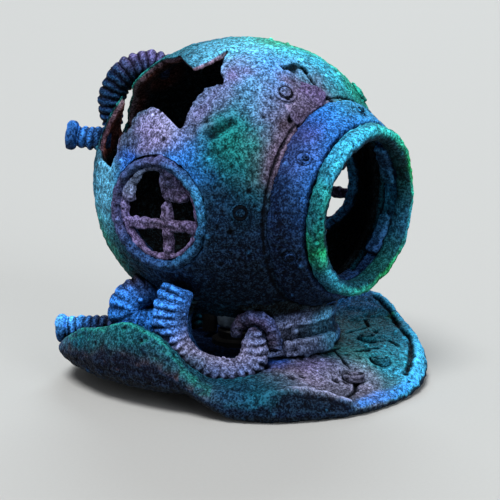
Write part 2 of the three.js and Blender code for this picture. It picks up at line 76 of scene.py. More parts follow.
# The CAD is moved by this much, which brings the middle of its base over the origin.
CAD_SHIFT = np.array([-0.5, 4.3, 0.0])
BONNET_CENTRE = CAD_SHIFT + (0, 0, 63)
BONNET_RADIUS = 47.0
BONNET_WALL = 3.6
PORT_TILT = math.radians(5)
# Points out of the front port, a little downwards.
PORT_AXIS = np.array([0, -math.cos(PORT_TILT), -math.sin(PORT_TILT)])

# Bosses, bolts and studs: each is sculpted as a ring with a button in it.
BUTTONS = [node for node in frame["nodes"] if node.startswith(("bonnet_boss", "flange_bolt", "plate_stud"))]

# The size of the quads in mm: by name, for buttons, and for any other piece.
VOXELS = {
    "bonnet": 0.62, "breastplate": 0.58, "base_floor": 0.8, "neck_collar": 0.46, "hose_front_arm": 0.32,
    "hose_front_curl": 0.3, "hose_lower_coil": 0.3, "hose_lower_end": 0.3, "hose_upper_loop": 0.3,
    "hose_upper_stub": 0.3, "side_grille_right": 0.34, "side_grille_left": 0.34,
}
BUTTON_VOXEL = 0.26
FINE_VOXEL = 0.42

# Paint, as screen colours.
CYAN = (0.26, 0.70, 0.90)
SKY = (0.20, 0.52, 0.92)
BLUE = (0.06, 0.30, 0.80)
NAVY = (0.02, 0.10, 0.24)
INK = (0.004, 0.055, 0.17)
TEAL = (0.03, 0.27, 0.34)
GREEN = (0.05, 0.39, 0.43)
LEAF = (0.13, 0.72, 0.30)
FOAM = (0.18, 0.72, 0.62)
MAUVE = (0.45, 0.39, 0.60)
ROSE = (0.62, 0.42, 0.50)
RUST = (0.42, 0.21, 0.16)
BROWN = (0.19, 0.13, 0.15)
PLUM = (0.30, 0.26, 0.40)
TAUPE = (0.40, 0.34, 0.44)
SLATE = (0.14, 0.28, 0.48)
PALE = (0.62, 0.64, 0.80)
DUST = (0.50, 0.48, 0.60)
ICE = (0.42, 0.78, 0.96)
# Near-black, used as painted shade inside the bonnet and under its overhang, and for a dark patch on the
# upper hose loop.
SHADE_BLACK = (0.004, 0.004, 0.006)


# ---- vectors and noise ----
def linear(colour):
    """A screen colour as the linear values that Blender uses."""
    values = np.asarray(colour, float)
    return np.where(values <= 0.04045, values / 12.92, ((values + 0.055) / 1.055) ** 2.4)


def step(low, high, values):
    """A smooth rise from 0 at `low` to 1 at `high`, or a fall where `low` is the larger."""
    t = np.clip((values - low) / (high - low), 0, 1)
    return t * t * (3 - 2 * t)


def lattice(cells, seed):
    """One repeatable number from 0 to 1 for each row of whole numbers."""
    mixed = cells.astype(np.uint64)
    value = mixed[..., 0] * np.uint64(73856093)
    value ^= mixed[..., 1] * np.uint64(19349663)
    value ^= mixed[..., 2] * np.uint64(83492791)
    value ^= np.uint64(seed * 2654435761 + 97)
    for shift, factor in ((15, 2246822519), (13, 3266489917), (16, 668265263)):
        value ^= value >> np.uint64(shift)
        value *= np.uint64(factor)
        value &= np.uint64(0xFFFFFFFF)
    return value.astype(float) / 0xFFFFFFFF


def noise(points, size, seed):
    """Smooth noise from -1 to 1, with lumps about `size` mm across."""
    scaled = points / size + 512
    cells = np.floor(scaled).astype(np.int64)
    part = scaled - cells
    eased = part * part * (3 - 2 * part)
    total = np.zeros(len(points))
    for corner in product((0, 1), repeat=3):
        share = np.prod(np.where(corner, eased, 1 - eased), axis=1)
        total += share * lattice(cells + np.array(corner), seed)
    return 2 * total - 1


def pock_marks(points, spacing, likely, seed):
    """0 on open ground and up to 1 in scattered round pits."""
    scaled = points / spacing + 512
    cells = np.floor(scaled).astype(np.int64)
    depth = np.zeros(len(points))
    for offset in product((-1, 0, 1), repeat=3):
        cell = cells + np.array(offset)
        jitter = np.stack([lattice(cell, seed + k) for k in range(3)], axis=1) - 0.5
        middle = cell + 0.5 + 0.6 * jitter
        size = 0.12 + 0.16 * lattice(cell, seed + 3)
        present = lattice(cell, seed + 4) < likely
        distance = np.linalg.norm(scaled - middle, axis=1)
        depth = np.maximum(depth, present * step(size, size * 0.3, distance))
    return depth


def bonnet_radius(direction):
    """The bonnet's outer radius: it swells in a belt round the front port and draws in towards the neck."""
    from_front = np.degrees(np.arccos(np.clip(-direction[..., 1], -1, 1)))
    belt = 1.5 * np.exp(-(((from_front - 57) / 18) ** 2))
    return BONNET_RADIUS + belt - 1.2 * step(0.3, 0.8, -direction[..., 2])


def on_dome(azimuth, elevation):
    """A point on the bonnet, by its direction from the bonnet's middle."""
    a, e = math.radians(azimuth), math.radians(elevation)
    direction = np.array([math.cos(e) * math.cos(a), math.cos(e) * math.sin(a), math.sin(e)])
    return BONNET_CENTRE + bonnet_radius(direction) * direction


# ---- meshes as arrays ----
class Clay:
    """A piece while it is sculpted: its points in mm, quads and edges, and some values for each point.

    The dark layer in low places runs from 0 to 1 and is partly dark paint and partly painted shade; warts are
    raised spots, depth and tear are the bonnet's depth below its outer face and nearness to the torn edge,
    and colour is the paint.
    """

    def __init__(self, node):
        self.node = node
        self.slot = SLOT_OF[node]
        usual_voxel = BUTTON_VOXEL if node in BUTTONS else FINE_VOXEL
        mesh = remeshed(frame["nodes"][node], VOXELS.get(node, usual_voxel))
        self.points = read(mesh.vertices, "co", 3) / MM
        self.quads = read(mesh.polygons, "vertices", 4, int)
        self.edges = read(mesh.edges, "vertices", 2, int)
        bpy.data.meshes.remove(mesh)
        self.wash_and_shade = np.zeros(len(self.points))
        self.warts = np.zeros(len(self.points))
        self.depth = np.zeros(len(self.points))
        self.tear = np.zeros(len(self.points))
        self.colour = np.zeros((len(self.points), 3))

    def normals(self):
        corners = self.points[self.quads]
        faces = np.cross(corners[:, 2] - corners[:, 0], corners[:, 3] - corners[:, 1])
        total = np.zeros_like(self.points)
        for corner in range(4):
            for axis in range(3):
                total[:, axis] += np.bincount(self.quads[:, corner], faces[:, axis], len(total))
        return total / np.maximum(np.linalg.norm(total, axis=1, keepdims=True), 1e-9)

    def relaxed(self, rounds, share=0.5):
        """The points, each drawn towards the mean of its neighbours `rounds` times."""
        points = self.points.copy()
        first, second = self.edges.T
        count = np.bincount(first, minlength=len(points)) + np.bincount(second, minlength=len(points))
        for _ in range(rounds):
            mean = np.stack([
                np.bincount(first, points[second, k], len(points))
                + np.bincount(second, points[first, k], len(points)) for k in range(3)
            ], axis=1) / count[:, None]
            points += share * (mean - points)
        return points

    def push(self, heights):
        """Moves each point outwards by its height in mm."""
        self.points += self.normals() * np.asarray(heights)[:, None]


def read(items, name, width, kind=float):
    """One property of all of a mesh's items, as rows of `width` numbers."""
    values = np.empty(len(items) * width, np.float64 if kind is float else np.int32)
    items.foreach_get(name, values)
    return values.reshape(-1, width)


def remeshed(source, voxel):
    """A copy of a CAD node's mesh as even quads."""
    worker = bpy.data.objects.new("worker", source.data.copy())
    bpy.context.scene.collection.objects.link(worker)
    modifier = worker.modifiers.new("quads", "REMESH")
    modifier.mode = "VOXEL"
    modifier.voxel_size = voxel * MM * 1
    evaluated = worker.evaluated_get(bpy.context.evaluated_depsgraph_get())
    mesh = bpy.data.meshes.new_from_object(evaluated)
    bpy.data.objects.remove(worker)
    return mesh


def distance_to_path(points, path):
    """Distance from each point to a line through the path's points."""
    nearest = np.full(len(points), 1e9)
    for start, end in zip(path[:-1], path[1:]):
        along = end - start
        t = np.clip((points - start) @ along / max(along @ along, 1e-9), 0, 1)
        nearest = np.minimum(nearest, np.linalg.norm(points - start - t[:, None] * along, axis=1))
    return nearest


# ---- sculpting tools ----
def crack(clay, path, width, depth, dark=1.0):
    """A ragged groove along a path."""
    wander = 0.45 * width * noise(clay.points, 2.2, 31)
    distance = distance_to_path(clay.points, [np.asarray(p, float) for p in path]) + wander
    profile = step(width, 0.15 * width, distance)
    clay.push(-depth * profile)
    # Darkens the groove: partly dark paint, partly painted shade.
    clay.wash_and_shade = np.maximum(clay.wash_and_shade, dark * step(1.5 * width, 0.4 * width, distance))


def pit(clay, middle, radius, depth, dark=0.9):
    """A round hole, made as a crack of almost no length."""
    crack(clay, [middle, np.asarray(middle) + 0.01], radius, depth, dark)


def ring_groove(clay, middle, axis, radius, width, depth, dark=0.8, reach=3):
    """A circular groove round an axis, such as round the foot of a boss."""
    axis = np.asarray(axis, float) / np.linalg.norm(axis)
    offset = clay.points - middle
    height = offset @ axis
    out = np.linalg.norm(offset - height[:, None] * axis, axis=1)
    distance = np.hypot(out - radius, np.maximum(np.abs(height) - reach, 0))
    profile = step(width, 0.2 * width, distance + 0.2 * width * noise(clay.points, 1.8, 17))
    clay.push(-depth * profile)
    # Darkens the groove: partly dark paint, partly painted shade.
    clay.wash_and_shade = np.maximum(clay.wash_and_shade, dark * profile)


def grit(clay, amount, seed=1):
    """Casting texture: lumps, coarse grain, scattered pits and small warts."""
    points = clay.points
    height = 0.24 * noise(points, 6.5, seed) + 0.22 * noise(points, 3.0, seed + 1)
    height += 0.26 * noise(points, 1.3, seed + 2)
    pocks = pock_marks(points, 3.4, 0.5, seed + 5)
    warts = pock_marks(points, 4.6, 0.4, seed + 11)
    clay.push(amount * (height - 0.5 * pocks + 0.55 * warts))
    # Darkens the pits: partly dark paint, partly painted shade.
    clay.wash_and_shade = np.maximum(clay.wash_and_shade, 0.8 * pocks)
    clay.warts = warts


# ---- bonnet ----
def bonnet_wall_depth(points):
    """Each point's depth under the bonnet's outer face, the outer radius there and its direction."""
    offset = points - BONNET_CENTRE
    radius = np.linalg.norm(offset, axis=1)
    direction = offset / radius[:, None]
    outer = bonnet_radius(direction)
    return outer - radius, outer, direction


def round_the_bonnet(clay):
    """Takes the CAD's flat facets out of the bonnet's outer face."""
    depth, outer, direction = bonnet_wall_depth(clay.points)
    target = BONNET_CENTRE + direction * outer[:, None]
    share = step(0.9, 0.45, depth)[:, None]
    clay.points += share * (target - clay.points)


def thin_the_tear(clay):
    """Brings the wall down to a thin ragged lip round the torn opening."""
    depth, outer, direction = bonnet_wall_depth(clay.points)
    edge = (depth > 1.2) & (depth < 2.6) & (direction[:, 2] > 0.28) & (clay.points[:, 1] > -14)
    rim = clay.points[edge][::7]
    lift = np.zeros(len(clay.points))
    near = (depth > 1.0) & (direction[:, 2] > 0.0)
    chosen = np.flatnonzero(near)
    for block in np.array_split(chosen, max(1, len(chosen) // 2000)):
        gap = np.linalg.norm(clay.points[block][:, None] - rim[None], axis=2).min(axis=1)
        lift[block] = 1 - step(0, 7, gap)
    clay.tear = lift.copy()
    lift *= 0.62 * np.clip(depth, 0, BONNET_WALL)
    clay.points += direction * lift[:, None]


# Lines and marks on the bonnet, by azimuth and elevation in degrees.
CRACK_ACROSS_THE_TOP = [(246, 55), (252, 55), (259, 56), (261, 50), (262, 43), (266, 39), (268, 36)]
BLACK_SPLIT = [(252, 54), (258, 56), (262, 53)]
LOW_CRACK = [(235, -31), (239, -35), (245, -40)]
BACK_CRACK = [(30, 62), (38, 50), (36, 40), (44, 32)]
DIMPLE = [(206.5, 26.5), (210.5, 28.5), (214, 30.5)]
# Pits, with a radius each.
BONNET_PITS = [
    (204, 31, 1.6), (177, 28, 0.8), (185, 24, 0.9), (218, 41, 0.8), (228, 33, 0.9), (221, 6, 0.8),
    (214, -9, 1.0), (240, 32, 1.7), (243, 29, 1.2), (246, 30, 0.9), (60, 30, 1.4), (95, 20, 1.1),
    (120, -10, 1.3), (30, -20, 1.2),
]


def dome_line(places):
    return [on_dome(azimuth, elevation) for azimuth, elevation in places]


def sculpt_dimple(clay):
    """A long shallow crater with a raised lip, on the front quarter of the bonnet."""
    distance = distance_to_path(clay.points, dome_line(DIMPLE)) + 0.5 * noise(clay.points, 3, 33)
    clay.push(1.0 * step(6.5, 2.6, distance) - 2.0 * step(3.0, 0.2, distance))
    # Darkens the crater: partly dark paint, partly painted shade.
    clay.wash_and_shade = np.maximum(clay.wash_and_shade, 0.35 * step(1.8, 0.4, distance))


def sculpt_bonnet(clay):
    thin_the_tear(clay)
    clay.points = clay.relaxed(4)
    round_the_bonnet(clay)
    clay.depth = bonnet_wall_depth(clay.points)[0]
    crack(clay, dome_line(CRACK_ACROSS_THE_TOP), width=1.1, depth=2.0)
    crack(clay, dome_line(BLACK_SPLIT), width=1.7, depth=2.4)
    sculpt_dimple(clay)
    flange_seam = BONNET_CENTRE + 30 * PORT_AXIS
    ring_groove(clay, flange_seam, PORT_AXIS, radius=33.2, width=0.55, depth=0.5, reach=8)
    crack(clay, dome_line(LOW_CRACK), width=0.8, depth=0.9)
    crack(clay, dome_line(BACK_CRACK), width=0.9, depth=1.0)
    for azimuth, elevation, radius in BONNET_PITS:
        pit(clay, on_dome(azimuth, elevation), radius, 1.1 * radius)
    grit(clay, 1.0)


# ---- breastplate ----
# Lines and marks on the breastplate, seen from above: x and y in mm.
RIM_CREVICE = [(50.5, -16), (47, -24), (39, -33), (34.5, -40), (27.5, -45), (19, -50), (11, -53.5)]
RIM_BEAD = (46, -26)
PLATE_CRACKS = [
    [(-13, -27), (-8, -29), (0, -31), (6, -31)],
    [(2.5, -31), (-2.5, -39), (-4.5, -43)],
    [(7, -36), (18, -38)],
    [(-8, -47), (-14, -51), (-20, -52)],
    [(24, -22), (34, -24), (38, -20)],
    [(22, -32), (28, -36), (27, -40)],
    [(12, 40), (22, 46), (30, 44)],
    [(40, 8), (48, 14), (50, 22)],
]
# Pits, with a radius each.
PLATE_PITS = [
    (-27, -36.3, 1.6), (-23.5, -37.5, 1.3), (-14.8, -44.5, 1.6), (-12.5, -46, 1.1), (5, -40, 1.1),
    (31, -29, 1.3), (20, 44, 1.6), (40, 20, 1.4), (-40, 30, 1.6),
]
# The front lip of the breastplate: azimuth in degrees and distance from the middle in mm.
LIP = [(215, 66), (220, 61.5), (225, 58.6), (230, 56), (236.5, 53.4), (243, 54.7), (248, 59.4)]
# Stands for a lip so far out that no point lies past it.
NO_LIP = 99


def sculpt_plate(clay):
    clay.points = clay.relaxed(10)
    raise_the_lip(clay)
    for path in PLATE_CRACKS:
        crack(clay, draped(clay, path), width=0.8, depth=1.1)
    crack(clay, draped(clay, RIM_CREVICE), width=1.2, depth=1.3, dark=0.7)
    for x, y, radius in PLATE_PITS:
        pit(clay, draped(clay, [(x, y)])[0], radius, radius)
    bead = draped(clay, [RIM_BEAD])[0]
    clay.push(1.2 * step(1.8, 0.4, np.linalg.norm(clay.points - bead, axis=1)))
    grit(clay, 1.0, 11)
    stand_on_the_floor(clay)


def raise_the_lip(clay):
    """A raised crest just inside the front lip and a drop outside it, on the upper side only."""
    past = ragged_past_the_lip(clay.points)
    upward = step(0.0, 0.4, clay.normals()[:, 2])
    clay.push(upward * (0.8 * step(2.4, 0.3, np.abs(past + 0.8)) - 1.0 * step(0.3, 2.5, past)))


def stand_on_the_floor(clay):
    """Cuts the underside level, so that the grit doesn't reach below the floor."""
    clay.points[:, 2] = np.maximum(clay.points[:, 2], 0)


def past_the_lip(points):
    """How far each point lies outside the front lip; far below 0 where the breastplate has none."""
    azimuth = np.degrees(np.arctan2(points[:, 1], points[:, 0])) % 360
    angles, radii = zip(*LIP)
    lip = np.interp(azimuth, angles, radii, left=NO_LIP, right=NO_LIP)
    return np.linalg.norm(points[:, :2], axis=1) - lip


def ragged_past_the_lip(points):
    return past_the_lip(points) + 0.5 * noise(points, 4, 15)


def draped(clay, path, spacing=2.0):
    """Points along a path seen from above, laid on the clay's upper surface."""
    places = [np.array(path[0], float)]
    for start, end in zip(path[:-1], path[1:]):
        line = np.array(end, float) - start
        count = max(1, round(np.linalg.norm(line) / spacing))
        places += [start + line * (k + 1) / count for k in range(count)]
    laid = []
    for place in places:
        gap = np.linalg.norm(clay.points[:, :2] - place, axis=1)
        laid.append(np.array([*place, clay.points[gap < gap.min() + 0.8, 2].max()]))
    return laid


# ---- neck, small castings, buttons, strap, flange and ring ----
NECK_MIDDLE = np.array([-0.5, 2.8, 18.0])
NECK_RADIUS = 31.0
NECK_CRACK_FOOT = 13.0
NECK_CRACKS = (236, 243, 252, 262, 275, 292, 315, 350, 30, 70, 110, 140)


def sculpt_neck(clay):
    """Upright cracks round the collar and a level groove across their tops."""
    clay.points = clay.relaxed(6)
    for azimuth in NECK_CRACKS:
        a = math.radians(azimuth)
        x = NECK_MIDDLE[0] + NECK_RADIUS * math.cos(a)
        y = NECK_MIDDLE[1] + NECK_RADIUS * math.sin(a)
        foot = np.array([x, y, NECK_CRACK_FOOT])
        crack(clay, [foot, foot + (0.4, -0.3, 5.5)], width=0.7, depth=0.7)
    ring_groove(clay, NECK_MIDDLE, (0, 0, 1), NECK_RADIUS, width=0.8, depth=0.5)
    grit(clay, 0.8, 21)


# How rough the small castings of each finish are, as a share of the bonnet's roughness.
ROUGHNESS_OF = {
    "flange_resin": 0.9, "side_ring_resin": 1.1, "grille_resin": 1.2, "neck_resin": 0.9, "hose_resin": 0.5,
    "floor_resin": 0.5, "air_stone_mineral": 0.7,
}
# How far small castings are swollen in mm. The air stone moves, so it isn't.
USUAL_SWELL = 0.3
SWELL = {"side_grille_right": 0.15, "side_grille_left": 0.15, "air_stone": 0.0}


def sculpt_small(clay):
    """A small casting; a fixed one is swollen a little, to meet its neighbours as one cast surface."""
    roughness = ROUGHNESS_OF[clay.slot]
    clay.points = clay.relaxed(4)
    clay.push(SWELL.get(clay.node, USUAL_SWELL) + 0.4 * roughness * noise(clay.points, 2.4, 45))
    grit(clay, roughness, 41)


# The groove's radius as a share of the button's.
BUTTON_GROOVE = 0.62


def sculpt_button(clay):
    """A groove that leaves a raised ring with a button inside it; a bolt also has a dark pit."""
    low, high = clay.points.min(axis=0), clay.points.max(axis=0)
    middle = (low + high) / 2
    axis = middle - BONNET_CENTRE if clay.slot != "plate_resin" else (0, 0, 1)
    radius = BUTTON_GROOVE * np.max(high - low) / 2
    clay.points = clay.relaxed(2)
    crusted = clay.slot == "plate_resin" or clay.node == "bonnet_boss_2"
    dark = 0.35 if crusted else 0.9
    ring_groove(clay, middle, axis, radius, width=0.2 * radius + 0.2, depth=0.5, dark=dark)
    if clay.slot == "flange_resin":
        top = middle + 1.2 * axis / np.linalg.norm(axis)
        pit(clay, top, radius=1.0, depth=0.6, dark=1.0)
    grit(clay, 0.6, 43)


# Where the strap starts to rise, by azimuth and elevation in degrees.
STRAP_FOOT = [(234, 28), (238, 38), (243, 48)]


def sculpt_strap(clay):
    """The strap rises out of the bonnet's surface towards the front flange."""
    clay.points = clay.relaxed(3)
    depth, _, direction = bonnet_wall_depth(clay.points)
    rise = step(4.0, 13.0, distance_to_path(clay.points, dome_line(STRAP_FOOT)))
    drop = (1 - rise) * (np.max(-depth) - 0.2)
    clay.points -= drop[:, None] * direction
    grit(clay, 1.0, 1)


def sculpt_flange(clay):
    """A groove round the foot of each bolt and one beside the ring."""
    clay.points = clay.relaxed(6)
    for number in range(1, 7):
        low, high = (np.array(corner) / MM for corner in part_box(f"flange_bolt_{number}"))
        middle = (low + high) / 2
        outward = middle - BONNET_CENTRE
        ring_groove(clay, middle, outward, radius=2.1, width=0.35, depth=0.4)
    beside_ring = BONNET_CENTRE + 36 * PORT_AXIS
    ring_groove(clay, beside_ring, PORT_AXIS, radius=28.4, width=0.5, depth=0.5, reach=6)
    grit(clay, 0.9, 31)


# Chips in the ring: x, y, z and radius.
RING_CHIPS = [(22.2, -44, 68.4, 2.2), (-22.0, -45, 59.5, 1.9), (-14, -46, 38.5, 1.4), (8, -46, 83, 1.5)]


def sculpt_ring(clay):
    clay.points = clay.relaxed(6)
    clay.push(0.5 * noise(clay.points, 5.0, 51))
    for x, y, z, radius in RING_CHIPS:
        pit(clay, (x, y, z), radius, 0.8 * radius, 0.8)
    grit(clay, 0.9, 53)


# ---- hoses ----
# Centre lines as in the CAD before its shift, with the hose's radius as the fourth number.
HOSES = {
    "hose_front_arm": [
        (-41, -8, 36.4, 4.8), (-43.2, -7.2, 31.6, 5.3), (-44.6, -7.4, 25.4, 5.3), (-44.4, -9.2, 19, 5.1),
        (-42.4, -13, 13.6, 5.2), (-39.2, -18, 10.6, 5.5), (-35.2, -22.6, 9.4, 5.7), (-31, -25.6, 10.6, 5.2),
        (-28, -26.8, 14.6, 4.6), (-27.4, -26.4, 19.4, 3.6), (-26.8, -25.8, 23.8, 1.2),
    ],
    "hose_front_curl": [
        (-25.5, -18.5, 19.5, 1.7), (-25.9, -18.9, 22.2, 2.1), (-24.8, -20.2, 24.7, 2.5),
        (-22.9, -22.6, 25.9, 2.6), (-20.8, -25.2, 24.7, 2.6), (-19.2, -27, 21.8, 2.5),
        (-18.4, -28.2, 17.8, 2.5), (-18.8, -28.4, 15.2, 2.5),
    ],
    "hose_lower_coil": [
        (-28.5, 7, 32.4, 4.2), (-33.5, 10.6, 33, 4.4), (-38.4, 14.2, 30.6, 4.6), (-40.6, 15.4, 25.8, 4.6),
        (-38.8, 13, 21.6, 4.4), (-34.4, 8.4, 20, 4.2),
    ],
    "hose_lower_end": [(-27, 20.5, 17.2, 3.4), (-33.5, 32, 17, 3.6), (-38.6, 41, 16.2, 3.6)],
    "hose_upper_loop": [
        (0, 28.4, 98.6, 4.0), (-4, 33.8, 100, 4.4), (-8.2, 38.2, 98.2, 4.6), (-10.8, 41.6, 94.2, 4.6),
        (-12, 43.4, 89.4, 4.4), (-12.2, 43.6, 84.4, 4.0), (-12, 43.4, 79.6, 3.2),
    ],
    "hose_upper_stub": [(-22, 36, 77.2, 3.7), (-25.4, 41.4, 77.2, 3.6), (-27.6, 45, 77.8, 3.5)],
}
# The ribs' spacing and height in mm.
RIB_PITCH = 2.5
RIB_HEIGHT = 0.8
# How strong the ribs are where they aren't full.
RIB_SHARE = {"hose_front_curl": 0.3}
# The middle of each bend whose ribs fade on the inner side.
BENDS = {"hose_front_arm": CAD_SHIFT + (-33, -16, 24), "hose_lower_coil": CAD_SHIFT + (-35.5, 11, 27)}


def smooth_route(route, steps=24):
    """Points and radii along a smooth line through a route."""
    knots = np.array([route[0], *route, route[-1]], float)
    rows = []
    for a, b, c, d in zip(knots[:-3], knots[1:-2], knots[2:-1], knots[3:]):
        for t in np.arange(steps) / steps:
            rows.append(0.5 * (2 * b + (c - a) * t + (2 * a - 5 * b + 4 * c - d) * t ** 2
                               + (3 * b - a - 3 * c + d) * t ** 3))
    rows.append(knots[-1])
    line = np.array(rows)
    return line[:, :3] + CAD_SHIFT, line[:, 3]


def nearest_on_line(points, line):
    """The number of the nearest point of a line, for each point."""
    blocks = np.array_split(points, 1 + len(points) // 4000)
    return np.concatenate([
        np.linalg.norm(block[:, None] - line[None], axis=2).argmin(axis=1) for block in blocks
    ])


def row_products(first, second):
    return np.einsum("ij,ij->i", first, second)


def sculpt_hose(clay):
    """Fine uneven ribs across a hose, which fade on the inner side of a tight bend."""
    middles, radii = smooth_route(HOSES[clay.node])
    lengths = np.linalg.norm(np.diff(middles, axis=0), axis=1)
    along = np.concatenate([[0], np.cumsum(lengths)])
    nearest = nearest_on_line(clay.points, middles)
    tangent = np.gradient(middles, axis=0)
    tangent /= np.linalg.norm(tangent, axis=1, keepdims=True)
    offset = clay.points - middles[nearest]
    ahead = row_products(offset, tangent[nearest])
    across = offset - ahead[:, None] * tangent[nearest]
    reach = np.linalg.norm(across, axis=1)
    place = along[nearest] + ahead
    wander = 0.9 * noise(clay.points, 5, 81) + 0.5 * noise(clay.points, 2, 82)
    ridge = np.abs(np.sin(math.pi * place / RIB_PITCH + 0.5 * wander)) ** 0.7
    share = np.full(len(clay.points), RIB_SHARE.get(clay.node, 1.0))
    if clay.node in BENDS:
        outward = row_products(across, middles[nearest] - BENDS[clay.node])
        share *= 0.2 + 0.8 * step(-30, 40, outward)
    inside = (place > 0.4) & (place < along[-1] - 0.4)
    side = step(0.62, 0.85, reach / radii[nearest]) * inside
    uneven = 1 + 0.8 * noise(clay.points, 3, 83)
    target = radii[nearest] + RIB_HEIGHT * share * uneven * (ridge - 0.7)
    if clay.node == "hose_lower_coil":
        target += swell_inside_the_coil(across, reach, middles[nearest])
    clay.points += (side * (target - reach) / np.maximum(reach, 1e-6))[:, None] * across
    clay.points = clay.relaxed(1, 0.3)
    grit(clay, 0.75, 61)
    # Dark between the ribs and bright on their crests: partly paint, partly painted shade and painted
    # highlight.
    clay.wash_and_shade = np.maximum(clay.wash_and_shade, 0.8 * side * share * step(0.55, 0.2, ridge))
    clay.warts = np.maximum(clay.warts, 0.7 * side * share * step(0.8, 1.0, ridge))


def swell_inside_the_coil(across, reach, middles):
    """Fills the eye of the coil, where the hose lies against itself."""
    inward = row_products(across, BENDS["hose_lower_coil"] - middles) / np.maximum(reach, 1e-6)
    return 0.34 * np.maximum(inward, 0)


# Every other cast piece is a small casting.
SCULPTORS = {
    "bonnet": sculpt_bonnet, "breastplate": sculpt_plate, "neck_collar": sculpt_neck,
    "port_flange": sculpt_flange, "port_ring": sculpt_ring, "strap_plate": sculpt_strap,
    **{node: sculpt_hose for node in HOSES}, **{node: sculpt_button for node in BUTTONS},
}


# ---- paint ----
# The ground colour of each finish that is sculpted. The air stone's material has a plain colour instead.
GROUND = {
    "bonnet_resin": TEAL, "strap_resin": PLUM, "flange_resin": SLATE, "ring_resin": FOAM,
    "side_ring_resin": SLATE, "grille_resin": PLUM, "neck_resin": SLATE, "plate_resin": TEAL,
    "arm_resin": SLATE, "hose_resin": NAVY, "floor_resin": INK, "air_stone_mineral": SLATE,
}

# Patches on the bonnet and strap: azimuth and elevation, reach in mm, colour, strength. Most are paint; the
# INK and NAVY patches low on the bonnet are painted shade, and the ICE patches on its top and far left side
# are painted highlight.
DOME_PATCHES = {
    "bonnet_resin": [
        (225, 66, 18, ICE, 0.8), (247, 66, 15, ICE, 0.7), (300, 62, 17, LEAF, 0.9),
        (280, 56, 12, CYAN, 0.8), (315, 42, 13, FOAM, 0.85), (60, 55, 18, CYAN, 0.7),
        (100, 40, 16, FOAM, 0.7), (238, 50, 11, SKY, 0.75), (224, 44, 10, CYAN, 0.6),
        (212, 52, 8, MAUVE, 0.9), (203, 38, 8, MAUVE, 0.8), (232, 37, 9, MAUVE, 0.5),
        (250, 44, 9, TAUPE, 0.9), (256, 37, 8, TAUPE, 0.9), (246, 36, 8, TAUPE, 0.8),
        (218, 28, 10, GREEN, 0.9), (220, 14, 11, GREEN, 0.95), (212, 29, 6, GREEN, 0.8),
        (209, 17, 9, GREEN, 0.9), (216, 22, 8, LEAF, 0.1), (224, 9, 6, LEAF, 0.15),
        (214, 7, 10, TEAL, 0.8), (233, 20, 6, TAUPE, 0.7), (231, 8, 6, TAUPE, 0.7),
        (242, 26, 8, TAUPE, 0.95), (238, 17, 8, TAUPE, 0.95), (236, 7, 8, TAUPE, 0.9),
        (234, -2, 8, BROWN, 0.8), (233, 12, 5, BROWN, 0.5), (240, 32, 4, BROWN, 0.8),
        (180, 27, 9, MAUVE, 0.95), (183, 30, 7, PALE, 0.5), (195, 20, 6, SKY, 0.6),
        (203, 7, 8, NAVY, 0.7), (193, 12, 6, SKY, 0.8), (168, 13, 6, BLUE, 0.7), (154, 4, 9, ICE, 0.8),
        (148, -8, 11, ICE, 0.8), (143, -24, 10, FOAM, 0.8), (153, 22, 7, ROSE, 0.8),
        (212, -3, 12, NAVY, 0.8), (222, 0, 6, GREEN, 0.5), (232, -14, 12, NAVY, 0.9),
        (218, -24, 22, INK, 0.95), (238, -38, 20, INK, 0.95), (190, -32, 16, NAVY, 0.9),
        (180, -30, 12, SLATE, 0.6), (320, 10, 14, GREEN, 0.6), (350, 25, 15, SKY, 0.7),
        (20, 10, 15, MAUVE, 0.5), (70, 12, 17, GREEN, 0.8), (110, -5, 14, MAUVE, 0.6),
        (40, -25, 20, INK, 0.8), (90, -30, 20, NAVY, 0.9), (320, -25, 20, INK, 0.8),
    ],
    "strap_resin": [
        (242, 42, 7, DUST, 0.7), (258, 42, 6, MAUVE, 0.4), (246, 30, 6, BROWN, 0.6),
    ],
}
